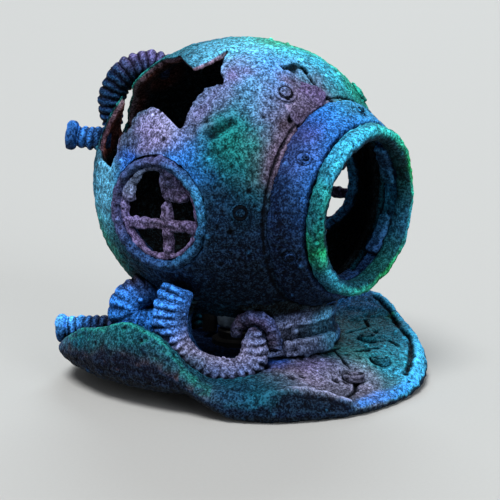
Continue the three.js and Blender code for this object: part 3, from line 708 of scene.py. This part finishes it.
# Patches on the other finishes: x, y and z, reach in mm, colour, strength.
PATCHES = {
    "flange_resin": [
        (-12, -34, 92, 13, SKY, 0.8), (8, -34, 92, 14, CYAN, 0.8), (-22, -30, 84, 9, BLUE, 0.5),
        (-32, -28, 72, 9, NAVY, 0.6), (-24, -32, 80, 8, MAUVE, 0.5), (-34, -28, 60, 10, NAVY, 0.7),
        (-24, -38, 74, 6, SKY, 0.3), (-30, -30, 46, 21, INK, 0.98), (-32, -30, 58, 9, INK, 0.9),
        (-29, -31, 70, 8, NAVY, 0.6), (-18, -32, 36, 14, NAVY, 0.9), (28, -33, 60, 14, GREEN, 0.7),
        (4, -30, 34, 14, NAVY, 0.8),
    ],
    "side_ring_resin": [
        (-45, -12, 64, 7, CYAN, 0.45), (-46, 18, 62, 11, PLUM, 0.9), (-45, 2, 79, 8, PLUM, 0.8),
        (-45, -8, 50, 9, TEAL, 0.7), (-45, 12, 50, 9, INK, 0.5), (45, 4, 66, 18, CYAN, 0.7),
    ],
    # On the left grille, the ICE and PALE patches are painted light from the left.
    "grille_resin": [
        (-43, 14, 72, 10, ICE, 0.6), (-43, 14, 72, 10, PALE, 0.8), (-43, 2, 56, 12, TAUPE, 0.6),
        (-43, -2, 73, 8, NAVY, 0.7), (-43, 14, 58, 7, MAUVE, 0.7), (43, 2, 60, 14, BROWN, 0.6),
    ],
    # On the neck, the PALE and ICE patches at the front are painted light, brightening it under the bonnet.
    "neck_resin": [
        (-10, -30, 19, 10, PALE, 0.6), (2, -28, 19, 8, ICE, 0.6), (-16, -28, 17, 8, PALE, 0.5),
        (-8, -30, 13, 6, SLATE, 0.6), (4, -28, 13, 5, ICE, 0.6), (25, -15, 18, 12, TEAL, 0.9),
        (10, 30, 18, 16, TEAL, 0.9),
    ],
    "plate_resin": [
        (12, -40, 13, 13, FOAM, 0.6), (22, -44, 14, 13, CYAN, 0.8), (6, -54, 10, 10, GREEN, 0.6),
        (14, -58, 9, 9, CYAN, 0.8), (34, -38, 16, 9, CYAN, 0.6), (34, -26, 14, 11, GREEN, 0.6),
        (14, -30, 13, 8, TEAL, 0.8), (-2, -44, 9, 9, DUST, 0.5), (24, -38, 11, 9, GREEN, 0.7),
        (16, -46, 8, 7, GREEN, 0.6), (46, -26, 15, 1.8, LEAF, 0.9), (-22, -40, 9, 10, DUST, 0.95),
        (-14, -34, 11, 8, MAUVE, 0.6), (-10, -52, 8, 9, DUST, 0.8), (-21, -33, 10, 5, BROWN, 0.6),
        (-20, -50, 7, 7, BROWN, 0.5), (-26, -30, 9, 8, BROWN, 0.6), (-24, -22, 12, 6, BLUE, 0.9),
        (-54, 14, 22, 10, GREEN, 0.6), (-46, 4, 27, 7, FOAM, 0.5), (-50, 6, 14, 8, TEAL, 0.9),
        (-58, -4, 9, 10, BROWN, 0.95), (-54, -18, 5, 9, BROWN, 0.95), (-60, 14, 12, 9, BROWN, 0.7),
        (-48, -14, 8, 8, TEAL, 0.9), (-46, -30, 4, 8, NAVY, 0.9), (40, 30, 15, 18, GREEN, 0.8),
        (0, 54, 10, 16, CYAN, 0.7), (-30, 45, 12, 14, MAUVE, 0.6), (56, 0, 20, 14, SKY, 0.7),
    ],
    "arm_resin": [
        (-44, 0, 33, 8, SKY, 0.9), (-45, -3, 25, 8, SKY, 0.9), (-42, -4, 40, 6, NAVY, 0.9),
        (-42, -8, 18, 9, DUST, 0.8), (-36, -14, 12, 10, DUST, 0.9), (-28, -22, 14, 8, DUST, 0.9),
        (-26, -22, 24, 5, BROWN, 0.7), (-46, -12, 11, 6, TEAL, 0.6), (-36, -22, 4, 6, NAVY, 0.8),
        (-24, -14, 24, 7, BROWN, 0.95), (-20, -21, 24, 6, MAUVE, 0.6), (-19, -24, 17, 6, BROWN, 0.8),
    ],
    # On the hoses, the INK patch in the eye of the coil is painted shade.
    "hose_resin": [
        (-42, 18, 28, 8, SKY, 0.9), (-38, 12, 22, 7, SKY, 0.8), (-38, 17, 36, 7, BROWN, 0.95),
        (-36, 15.3, 27, 4.5, INK, 0.95), (-39, 46, 18, 7, SKY, 0.9), (-41, 46, 19, 5, ICE, 0.4),
        (-31, 32, 18, 6, BROWN, 0.6), (-8, 42, 102, 6, MAUVE, 0.5), (-13, 44, 92, 8, SHADE_BLACK, 0.6),
        (-2, 36, 102, 6, MAUVE, 0.6), (-26, 46, 80, 8, SLATE, 0.9), (-29, 50, 78, 6, SKY, 0.6),
    ],
}
# How far the edge of a patch wanders, in mm.
PATCH_DRIFT = 3.5


def patches_of(slot):
    """A finish's patches, as place, reach, colour and strength."""
    rows = [(on_dome(*row[:2]), *row[2:]) for row in DOME_PATCHES.get(slot, [])]
    return rows + [(np.array(row[:3], float), *row[3:]) for row in PATCHES.get(slot, [])]


def airbrush(clay):
    """Lays the patches over the ground colour, then darkens what faces down: painted shade, as if lit from
    above.
    """
    colour = np.tile(linear(GROUND[clay.slot]), (len(clay.points), 1))
    drift = np.stack([noise(clay.points, 9, 60 + k) for k in range(3)], axis=1)
    drift += 0.5 * np.stack([noise(clay.points, 3, 66 + k) for k in range(3)], axis=1)
    for middle, reach, paint, strength in patches_of(clay.slot):
        distance = np.linalg.norm(clay.points + PATCH_DRIFT * drift - middle, axis=1)
        share = strength * np.exp(-((distance / reach) ** 2))
        colour += share[:, None] * (linear(paint) - colour)
    if clay.node in EXTRA_PAINT:
        EXTRA_PAINT[clay.node](clay, colour)
    # Raised spots are brightened, partly as dry-brushed paint and partly as painted highlight.
    colour += clay.warts[:, None] * (0.9 * colour + 0.05 * (linear(CYAN) - colour))
    mottle = noise(clay.points, 4.0, 71) * 0.5 + noise(clay.points, 1.6, 72) * 0.5
    # Painted shade: faces that turn downwards are darker.
    lit = 0.22 + 0.78 * step(-0.75, 0.45, clay.normals()[:, 2])
    clay.colour = colour * (lit * (1 + 0.3 * mottle))[:, None]


def around_port(points):
    """Distance out from the front port's axis, and angle round it from +X towards +Z."""
    offset = points - BONNET_CENTRE
    ahead = offset @ PORT_AXIS
    out = offset - ahead[:, None] * PORT_AXIS
    return np.linalg.norm(out, axis=1), np.degrees(np.arctan2(out[:, 2], out[:, 0])) % 360


# Paint round the front ring's face: angle, reach in degrees, colour.
RING_PAINT = [
    (90, 40, CYAN), (60, 30, FOAM), (20, 28, LEAF), (340, 25, CYAN), (300, 30, LEAF), (262, 28, FOAM),
    (225, 26, CYAN), (198, 16, LEAF), (178, 22, GREEN), (150, 20, TEAL), (130, 24, CYAN),
]


def paint_ring(clay, colour):
    """Patches round the ring, with a dark bore and a dull outer edge; the dull outer edge is painted shade.
    """
    out, angle = around_port(clay.points)
    for middle, reach, paint in RING_PAINT:
        gap = np.abs((angle - middle + 180) % 360 - 180) + 9 * noise(clay.points, 4, 91)
        colour += 0.85 * np.exp(-((gap / reach) ** 2))[:, None] * (linear(paint) - colour)
    inner = step(25.0, 23.3, out + 0.7 * noise(clay.points, 2.4, 92))[:, None]
    colour += 0.9 * inner * (linear(NAVY) - colour)
    outer = step(26.4, 27.4, out + 0.5 * noise(clay.points, 3, 93))[:, None]
    colour += 0.55 * outer * (linear(NAVY) - colour)


# The breastplate's edge and crest are found for each sector of this many degrees.
SECTOR = 5


def highest_in_sectors(values, sector):
    """For each point, the highest of the values in its sector round the Z axis."""
    return np.array([values[sector == k].max(initial=1) for k in range(360 // SECTOR)])[sector]


def paint_plate_rim(clay, colour):
    """A bright roll along the breastplate's edge and a dark face below it: painted highlight on the upward
    faces and painted shade on the front face and on all downward faces.
    """
    flat = clay.points[:, :2]
    radius = np.linalg.norm(flat, axis=1)
    sector = (np.degrees(np.arctan2(flat[:, 1], flat[:, 0])) % 360 // SECTOR).astype(int)
    edge = highest_in_sectors(radius, sector)
    up = clay.normals()[:, 2]
    near = step(6, 2.0, edge - radius + 1.4 * noise(clay.points, 5, 95))
    azimuth = sector * SECTOR
    front = step(255, 290, azimuth) * step(395, 360, azimuth) + step(40, 0, azimuth)
    side = step(120, 150, azimuth) * step(205, 190, azimuth)
    # Painted highlight on upward faces near the edge: cyan at the front, foam at the side.
    colour += 0.9 * (near * step(0.1, 0.5, up) * front)[:, None] * (linear(CYAN) - colour)
    colour += 0.35 * (near * step(0.4, 0.8, up) * side)[:, None] * (linear(FOAM) - colour)
    paint_side_lobe(clay, colour, side * step(14, 9, edge - radius), sector)
    paint_front_lip(clay, colour, near, up, azimuth)
    # Painted shade on the front face and on every downward face.
    colour += 0.95 * step(0.5, 0.1, up)[:, None] * front[:, None] * (linear(INK) - colour)
    colour += 0.9 * step(0.3, -0.1, up)[:, None] * (linear(INK) - colour)


def paint_side_lobe(clay, colour, lobe, sector):
    """Brown, then navy lower down, on the outer face of the lobe that stands up at the side; the navy lower
    down is painted shade.
    """
    crest = highest_in_sectors(clay.points[:, 2], sector)
    height = clay.points[:, 2] / crest + 0.07 * noise(clay.points, 5, 96)
    colour += (0.9 * lobe * step(0.74, 0.6, height))[:, None] * (linear(BROWN) - colour)
    colour += (0.8 * lobe * step(0.42, 0.32, height))[:, None] * (linear(NAVY) - colour)


def paint_front_lip(clay, colour, near, up, azimuth):
    """A pale crest along the front lip, painted highlight, and a dark drop outside it, painted shade."""
    lip = step(240, 252, azimuth) * step(290, 275, azimuth)
    # Painted highlight on the upward faces near the lip.
    colour += 0.5 * (near * step(0.3, 0.7, up) * lip)[:, None] * (linear(SKY) - colour)
    past = ragged_past_the_lip(clay.points)
    crest_highlight = 0.45 * step(222, 232, azimuth) * step(1.6, 0.3, np.abs(past + 0.8))
    colour += crest_highlight[:, None] * (linear(PALE) - colour)
    colour += 0.95 * step(0.2, 1.6, past)[:, None] * (0.5 * linear(INK) - colour)


def paint_bonnet_inside(clay, colour):
    """Blackens the inside as painted shade and leaves rust and rose along the torn edge."""
    lip = step(0.3, 0.9, clay.depth) * clay.tear
    colour += 0.8 * lip[:, None] * (linear(ROSE) - colour)
    inside = step(1.3, 2.2, clay.depth)
    rusty = 0.75 * step(0.0, 0.8, clay.tear)[:, None]
    colour += inside[:, None] * (rusty * linear(RUST) + (1 - rusty) * linear(SHADE_BLACK) - colour)
    under_the_skin = clay.depth > 1.0
    clay.wash_and_shade = np.where(under_the_skin, 0, clay.wash_and_shade)
    clay.warts = np.where(under_the_skin, 0, clay.warts)


def paint_flange(clay, colour):
    """Brightest next to the ring, as painted highlight, and dull towards the seam with the bonnet, as painted
    shadow of the bonnet's edge.
    """
    out, _ = around_port(clay.points)
    wander = 1.2 * noise(clay.points, 6, 97)
    near = step(30.2, 28.4, out + wander)[:, None] * step(52, 70, clay.points[:, 2])[:, None]
    colour += 0.2 * near * (linear(SKY) - colour)
    far = (step(29.8, 32.2, out + wander) * step(96, 84, clay.points[:, 2]))[:, None]
    colour += 0.7 * far * (linear(NAVY) - colour)


def paint_neck(clay, colour):
    """Painted shade: black under the bonnet's overhang."""
    shade = step(23, 27, clay.points[:, 2] + noise(clay.points, 4, 98))[:, None]
    colour += shade * (linear(SHADE_BLACK) - colour)


def grime(clay, colour):
    """Tones a stud or pad down to its surroundings."""
    colour *= 0.55


EXTRA_PAINT = {
    "bonnet": paint_bonnet_inside, "port_ring": paint_ring, "breastplate": paint_plate_rim,
    "port_flange": paint_flange, "neck_collar": paint_neck, "clamp_pad_front": grime,
    **{node: grime for node in BUTTONS if node.startswith("plate_stud")},
}


# ---- painted shade in crevices ----
# The field's cell in mm, and how many empty cells lie round the ornament.
FIELD_CELL = 1.0
FIELD_MARGIN = 8
# How many cells away from a surface its distance is still known.
FIELD_REACH = 3


def solid_field(clays):
    """The share of solid in each cell of a field round the ornament, blurred, and the field's first cell."""
    low = np.floor(np.array(CAD_BOX[0]) / MM / FIELD_CELL).astype(int) - FIELD_MARGIN
    high = np.ceil(np.array(CAD_BOX[1]) / MM / FIELD_CELL).astype(int) + FIELD_MARGIN
    solid = np.zeros(high - low, np.float32)
    for clay in clays:
        grid = openvdb.FloatGrid.createLevelSetFromPolygons(
            (clay.points / FIELD_CELL).astype(np.float32),
            quads=clay.quads.astype(np.uint32),
            halfWidth=FIELD_REACH,
        )
        part = np.full(solid.shape, FIELD_REACH, np.float32)
        grid.copyToArray(part, ijk=tuple(int(v) for v in low))
        solid = np.maximum(solid, np.clip(0.5 - part, 0, 1))
    return blurred(solid, 2, 3), low


def blurred(field, reach, rounds):
    """The field after rounds of averaging over `reach` cells each way."""
    for _ in range(rounds):
        for axis in range(3):
            total = sum(np.roll(field, shift, axis) for shift in range(-reach, reach + 1))
            field = total / (2 * reach + 1)
    return field


def sample(field, low, points):
    """The field's value at each point, blended between cells."""
    position = np.clip(points / FIELD_CELL - low, 0, np.array(field.shape) - 2)
    cell = position.astype(int)
    part = position - cell
    total = np.zeros(len(points))
    for corner in product((0, 1), repeat=3):
        share = np.prod(np.where(corner, part, 1 - part), axis=1)
        index = cell + np.array(corner)
        total += share * field[index[:, 0], index[:, 1], index[:, 2]]
    return total


# ---- materials ----
# The mix node's sockets for colours, by number, because several share a name.
MIX_SHARE, MIX_FIRST, MIX_SECOND = 0, 6, 7
MIX_RESULT = 2


class Shader:
    """Small helper that adds nodes to one material and links them."""

    def __init__(self, name):
        self.material = bpy.data.materials.new(name)
        self.material.use_nodes = True
        self.tree = self.material.node_tree
        self.surface = self.tree.nodes["Principled BSDF"]
        self.place = self.node("ShaderNodeTexCoord").outputs["Object"]

    def node(self, kind, **settings):
        made = self.tree.nodes.new(kind)
        for name, value in settings.items():
            setattr(made, name, value)
        return made

    def link(self, source, target):
        self.tree.links.new(source, target)

    def layer(self, name, output):
        return self.node("ShaderNodeAttribute", attribute_name=name).outputs[output]

    def noise(self, scale, detail=4, roughness=0.6):
        made = self.node("ShaderNodeTexNoise")
        made.inputs["Scale"].default_value = scale
        made.inputs["Detail"].default_value = detail
        made.inputs["Roughness"].default_value = roughness
        self.link(self.place, made.inputs["Vector"])
        return made.outputs["Fac"]

    def cells(self, scale):
        made = self.node("ShaderNodeTexVoronoi")
        made.inputs["Scale"].default_value = scale
        self.link(self.place, made.inputs["Vector"])
        return made.outputs["Distance"]

    def span(self, value, low, high, to_low=0.0, to_high=1.0):
        made = self.node("ShaderNodeMapRange")
        for name, number in zip(("From Min", "From Max", "To Min", "To Max"), (low, high, to_low, to_high)):
            made.inputs[name].default_value = number
        self.link(value, made.inputs["Value"])
        return made.outputs["Result"]

    def math(self, operation, first, second):
        made = self.node("ShaderNodeMath", operation=operation)
        for index, value in enumerate((first, second)):
            if isinstance(value, (int, float)):
                made.inputs[index].default_value = value
            else:
                self.link(value, made.inputs[index])
        return made.outputs["Value"]

    def mix(self, share, first, second):
        """A blend of two colours; a plain tuple is a screen colour."""
        made = self.node("ShaderNodeMix", data_type="RGBA")
        for index, value in ((MIX_SHARE, share), (MIX_FIRST, first), (MIX_SECOND, second)):
            if isinstance(value, (int, float)):
                made.inputs[index].default_value = value
            elif isinstance(value, tuple):
                made.inputs[index].default_value = (*linear(value), 1)
            else:
                self.link(value, made.inputs[index])
        return made.outputs[MIX_RESULT]

    def scaled(self, colour, factor):
        made = self.node("ShaderNodeVectorMath", operation="SCALE")
        made.inputs["Scale"].default_value = factor
        self.link(colour, made.inputs[0])
        return made.outputs["Vector"]

    def bump(self, height, strength, distance_mm):
        made = self.node("ShaderNodeBump")
        made.inputs["Strength"].default_value = strength
        made.inputs["Distance"].default_value = distance_mm * MM
        self.link(height, made.inputs["Height"])
        self.link(made.outputs["Normal"], self.surface.inputs["Normal"])


# The pale blue of the dry brush, partly painted highlight, and the dark of painted shade in pits and
# crevices.
BRUSH_AND_HIGHLIGHT_TINT = (0.62, 0.86, 1.0)
PIT_TINT = (0.01, 0.02, 0.04)
CREVICE_SHADE_TINT = (0.004, 0.014, 0.04)


def painted_resin(slot):
    """Cast resin: airbrushed paint, dark paint in the low grain and a bright dry brush on the high grain,
    partly standing for painted shade and painted highlight, and painted shade in crevices and pits.
    """
    shader = Shader(slot)
    grain = shader.noise(1700, 4, 0.62)
    coarse = shader.noise(700, 3, 0.55)
    holes = shader.span(shader.cells(900), 0.08, 0.26)
    relief = shader.layer("relief", "Fac")
    wash_and_crevice_shade = shader.layer("wash_and_crevice_shade", "Fac")
    paint = shader.layer("paint", "Color")
    height = shader.math("ADD", shader.math("MULTIPLY", grain, 0.66), shader.math("MULTIPLY", coarse, 0.34))
    height = shader.math("ADD", height, shader.math("MULTIPLY", relief, 0.07))
    brushed_and_highlit = shader.mix(0.035, shader.scaled(paint, 2.8), BRUSH_AND_HIGHLIGHT_TINT)
    bright = shader.mix(shader.span(height, 0.50, 0.60), paint, brushed_and_highlit)
    washed_and_shaded = shader.mix(shader.span(height, 0.51, 0.38, 0.0, 0.86), bright, shader.scaled(paint, 0.07))
    pitted = shader.mix(shader.span(holes, 0.0, 1.0, 0.6, 0.0), washed_and_shaded, PIT_TINT)
    shaded = shader.mix(shader.math("MULTIPLY", wash_and_crevice_shade, 0.94), pitted, CREVICE_SHADE_TINT)
    shader.link(shaded, shader.surface.inputs["Base Color"])
    shader.link(shader.span(grain, 0.3, 0.7, 0.88, 0.58), shader.surface.inputs["Roughness"])
    shader.surface.inputs["Specular IOR Level"].default_value = 0.08
    ground = shader.math("ADD", height, shader.math("MULTIPLY", holes, 0.2))
    shader.bump(ground, strength=1.0, distance_mm=0.75)
    return shader.material


def plain_material(slot, colour, rough, grain_scale, depth_mm, clear=0.0):
    """Moulded or bonded stock parts: an even colour, faint mottling and a fine surface."""
    shader = Shader(slot)
    grain = shader.noise(grain_scale, 4, 0.6)
    mottle = shader.noise(grain_scale * 0.2, 3, 0.5)
    dark = tuple(0.72 * c for c in colour)
    shader.link(shader.mix(shader.span(mottle, 0.35, 0.7), dark, colour), shader.surface.inputs["Base Color"])
    shader.link(shader.span(grain, 0.3, 0.7, rough + 0.08, rough - 0.08), shader.surface.inputs["Roughness"])
    shader.surface.inputs["Transmission Weight"].default_value = clear
    shader.bump(grain, strength=0.6, distance_mm=depth_mm)
    return shader.material


# Plain materials: colour, roughness, grain scale, grain depth in mm and, for the inlet, how clear it is.
PLAIN_MATERIALS = {
    "air_stone_mineral": ((0.42, 0.50, 0.58), 0.9, 1500, 0.5),
    "holder_plastic": ((0.05, 0.05, 0.06), 0.5, 2600, 0.03),
    "grommet_rubber": ((0.05, 0.05, 0.05), 0.75, 2200, 0.06),
    "inlet_plastic": ((0.82, 0.85, 0.83), 0.35, 2400, 0.02, 0.15),
    "airline_silicone": ((0.06, 0.06, 0.07), 0.4, 1800, 0.02),
}


def make_materials():
    made = {slot: painted_resin(slot) for slot in GROUND if slot not in PLAIN_MATERIALS}
    made.update({slot: plain_material(slot, *look) for slot, look in PLAIN_MATERIALS.items()})
    return made


# ---- building the pieces ----
# How far outside the surface the field is read for the painted shade in crevices, and the relief that counts
# as full, in mm.
CREVICE_REACH = 1.3
FULL_RELIEF = 0.35
# How dark the painted shade in crevices is where it isn't full: the neck lies in the bonnet's shade as it is.
CREVICE_SHARE = {"neck_resin": 0.2}


def build_piece(clay, field, low, material):
    """The clay as an object that takes its CAD node's place."""
    relief = np.einsum("ij,ij->i", clay.points - clay.relaxed(14), clay.normals())
    # Painted shade: points near other solid, in crevices and between parts, are darkened on top of the dark
    # in cracks and pits.
    crevice = sample(field, low, clay.points + CREVICE_REACH * clay.normals())
    dark = CREVICE_SHARE.get(clay.slot, 1.0)
    wash_and_crevice_shade = np.clip(dark * step(0.34, 0.62, crevice) + clay.wash_and_shade, 0, 1)
    mesh = bpy.data.meshes.new(f"{clay.node}_cast")
    mesh.from_pydata((clay.points * MM).tolist(), [], clay.quads.tolist())
    mesh.shade_smooth()
    add_layer(mesh, "relief", "FLOAT", np.clip(relief / FULL_RELIEF, -1, 1))
    add_layer(mesh, "wash_and_crevice_shade", "FLOAT", wash_and_crevice_shade)
    paint = np.concatenate([np.clip(clay.colour, 0, 1), np.ones((len(clay.points), 1))], axis=1)
    add_layer(mesh, "paint", "FLOAT_COLOR", paint)
    mesh.materials.append(material)
    piece = bpy.data.objects.new(f"{clay.node}_cast", mesh)
    bpy.context.scene.collection.objects.link(piece)
    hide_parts(clay.node)
    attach(piece, BODY_OF[clay.node])


def add_layer(mesh, name, kind, values):
    layer = mesh.attributes.new(name, kind, "POINT")
    field = "color" if kind == "FLOAT_COLOR" else "value"
    layer.data.foreach_set(field, np.asarray(values, np.float32).ravel())


def build_ornament():
    materials = make_materials()
    clays = []
    for node in sorted(frame["nodes"]):
        if SLOT_OF[node] in GROUND:
            clay = Clay(node)
            SCULPTORS.get(node, sculpt_small)(clay)
            airbrush(clay)
            clays.append(clay)
        else:
            dress_cad_node(frame["nodes"][node], materials[SLOT_OF[node]])
    field, low = solid_field(clays)
    for clay in clays:
        build_piece(clay, field, low, materials[clay.slot])


# The width of a stock part's soft edges in mm.
SOFT_EDGE = 0.12


def dress_cad_node(node, material):
    """A stock part keeps its CAD shape, with soft edges and its own material."""
    for slot in node.material_slots:
        slot.material = material
    bevel = node.modifiers.new("soft edges", "BEVEL")
    bevel.width = SOFT_EDGE * MM
    bevel.segments = 2
    bevel.limit_method = "ANGLE"


# ---- stage ----
CAMERA_PLACE = Vector((-0.47204, -0.35549, 0.15618))
CAMERA_TARGET = Vector((0.00164, 0.00145, 0.04089))
LENS_MM = 133.3
FLOOR_REACH = 3.0


def look_at(thing, target):
    """Turns a camera or light to point at the target."""
    thing.rotation_euler = (Vector(target) - thing.location).to_track_quat("-Z", "Y").to_euler()


def add_camera():
    camera = bpy.data.objects.new("camera", bpy.data.cameras.new("camera"))
    camera.location = CAMERA_PLACE
    camera.data.lens = LENS_MM
    camera.data.clip_start = 0.01
    look_at(camera, CAMERA_TARGET)
    bpy.context.scene.collection.objects.link(camera)
    bpy.context.scene.camera = camera


def add_sun(name, place, strength, spread, colour=(1, 1, 1)):
    """Soft even light from the direction of `place`, as wide as `spread` degrees."""
    data = bpy.data.lights.new(name, "SUN")
    data.energy = strength
    data.angle = math.radians(spread)
    data.color = colour
    light = bpy.data.objects.new(name, data)
    light.location = place
    look_at(light, (0, 0, 0))
    bpy.context.scene.collection.objects.link(light)


def add_stage():
    """A plain pale floor, soft light from above, behind and in front, and a pale surround."""
    mesh = bpy.data.meshes.new("floor")
    reach = FLOOR_REACH
    corners = [(-reach, -reach, 0), (reach, -reach, 0), (reach, reach, 0), (-reach, reach, 0)]
    mesh.from_pydata(corners, [], [(0, 1, 2, 3)])
    shader = Shader("floor")
    tone = shader.mix(shader.noise(900, 3, 0.5), (0.77, 0.77, 0.76), (0.79, 0.79, 0.78))
    shader.link(tone, shader.surface.inputs["Base Color"])
    shader.surface.inputs["Roughness"].default_value = 0.8
    mesh.materials.append(shader.material)
    floor = bpy.data.objects.new("floor", mesh)
    bpy.context.scene.collection.objects.link(floor)
    add_sun("key", (-0.45, -0.10, 0.85), 2.5, 24)
    add_sun("back", (0.75, 0.45, 0.55), 1.1, 30, (0.85, 0.95, 1.0))
    add_sun("front", (-0.30, -0.80, 0.32), 0.9, 30, (0.90, 0.95, 1.0))
    world = bpy.data.worlds.new("surround")
    world.use_nodes = True
    background = world.node_tree.nodes["Background"]
    background.inputs["Color"].default_value = (0.72, 0.74, 0.77, 1)
    background.inputs["Strength"].default_value = 0.26
    bpy.context.scene.world = world
    bpy.context.scene.view_settings.view_transform = "Standard"


add_camera()
add_stage()
build_ornament()
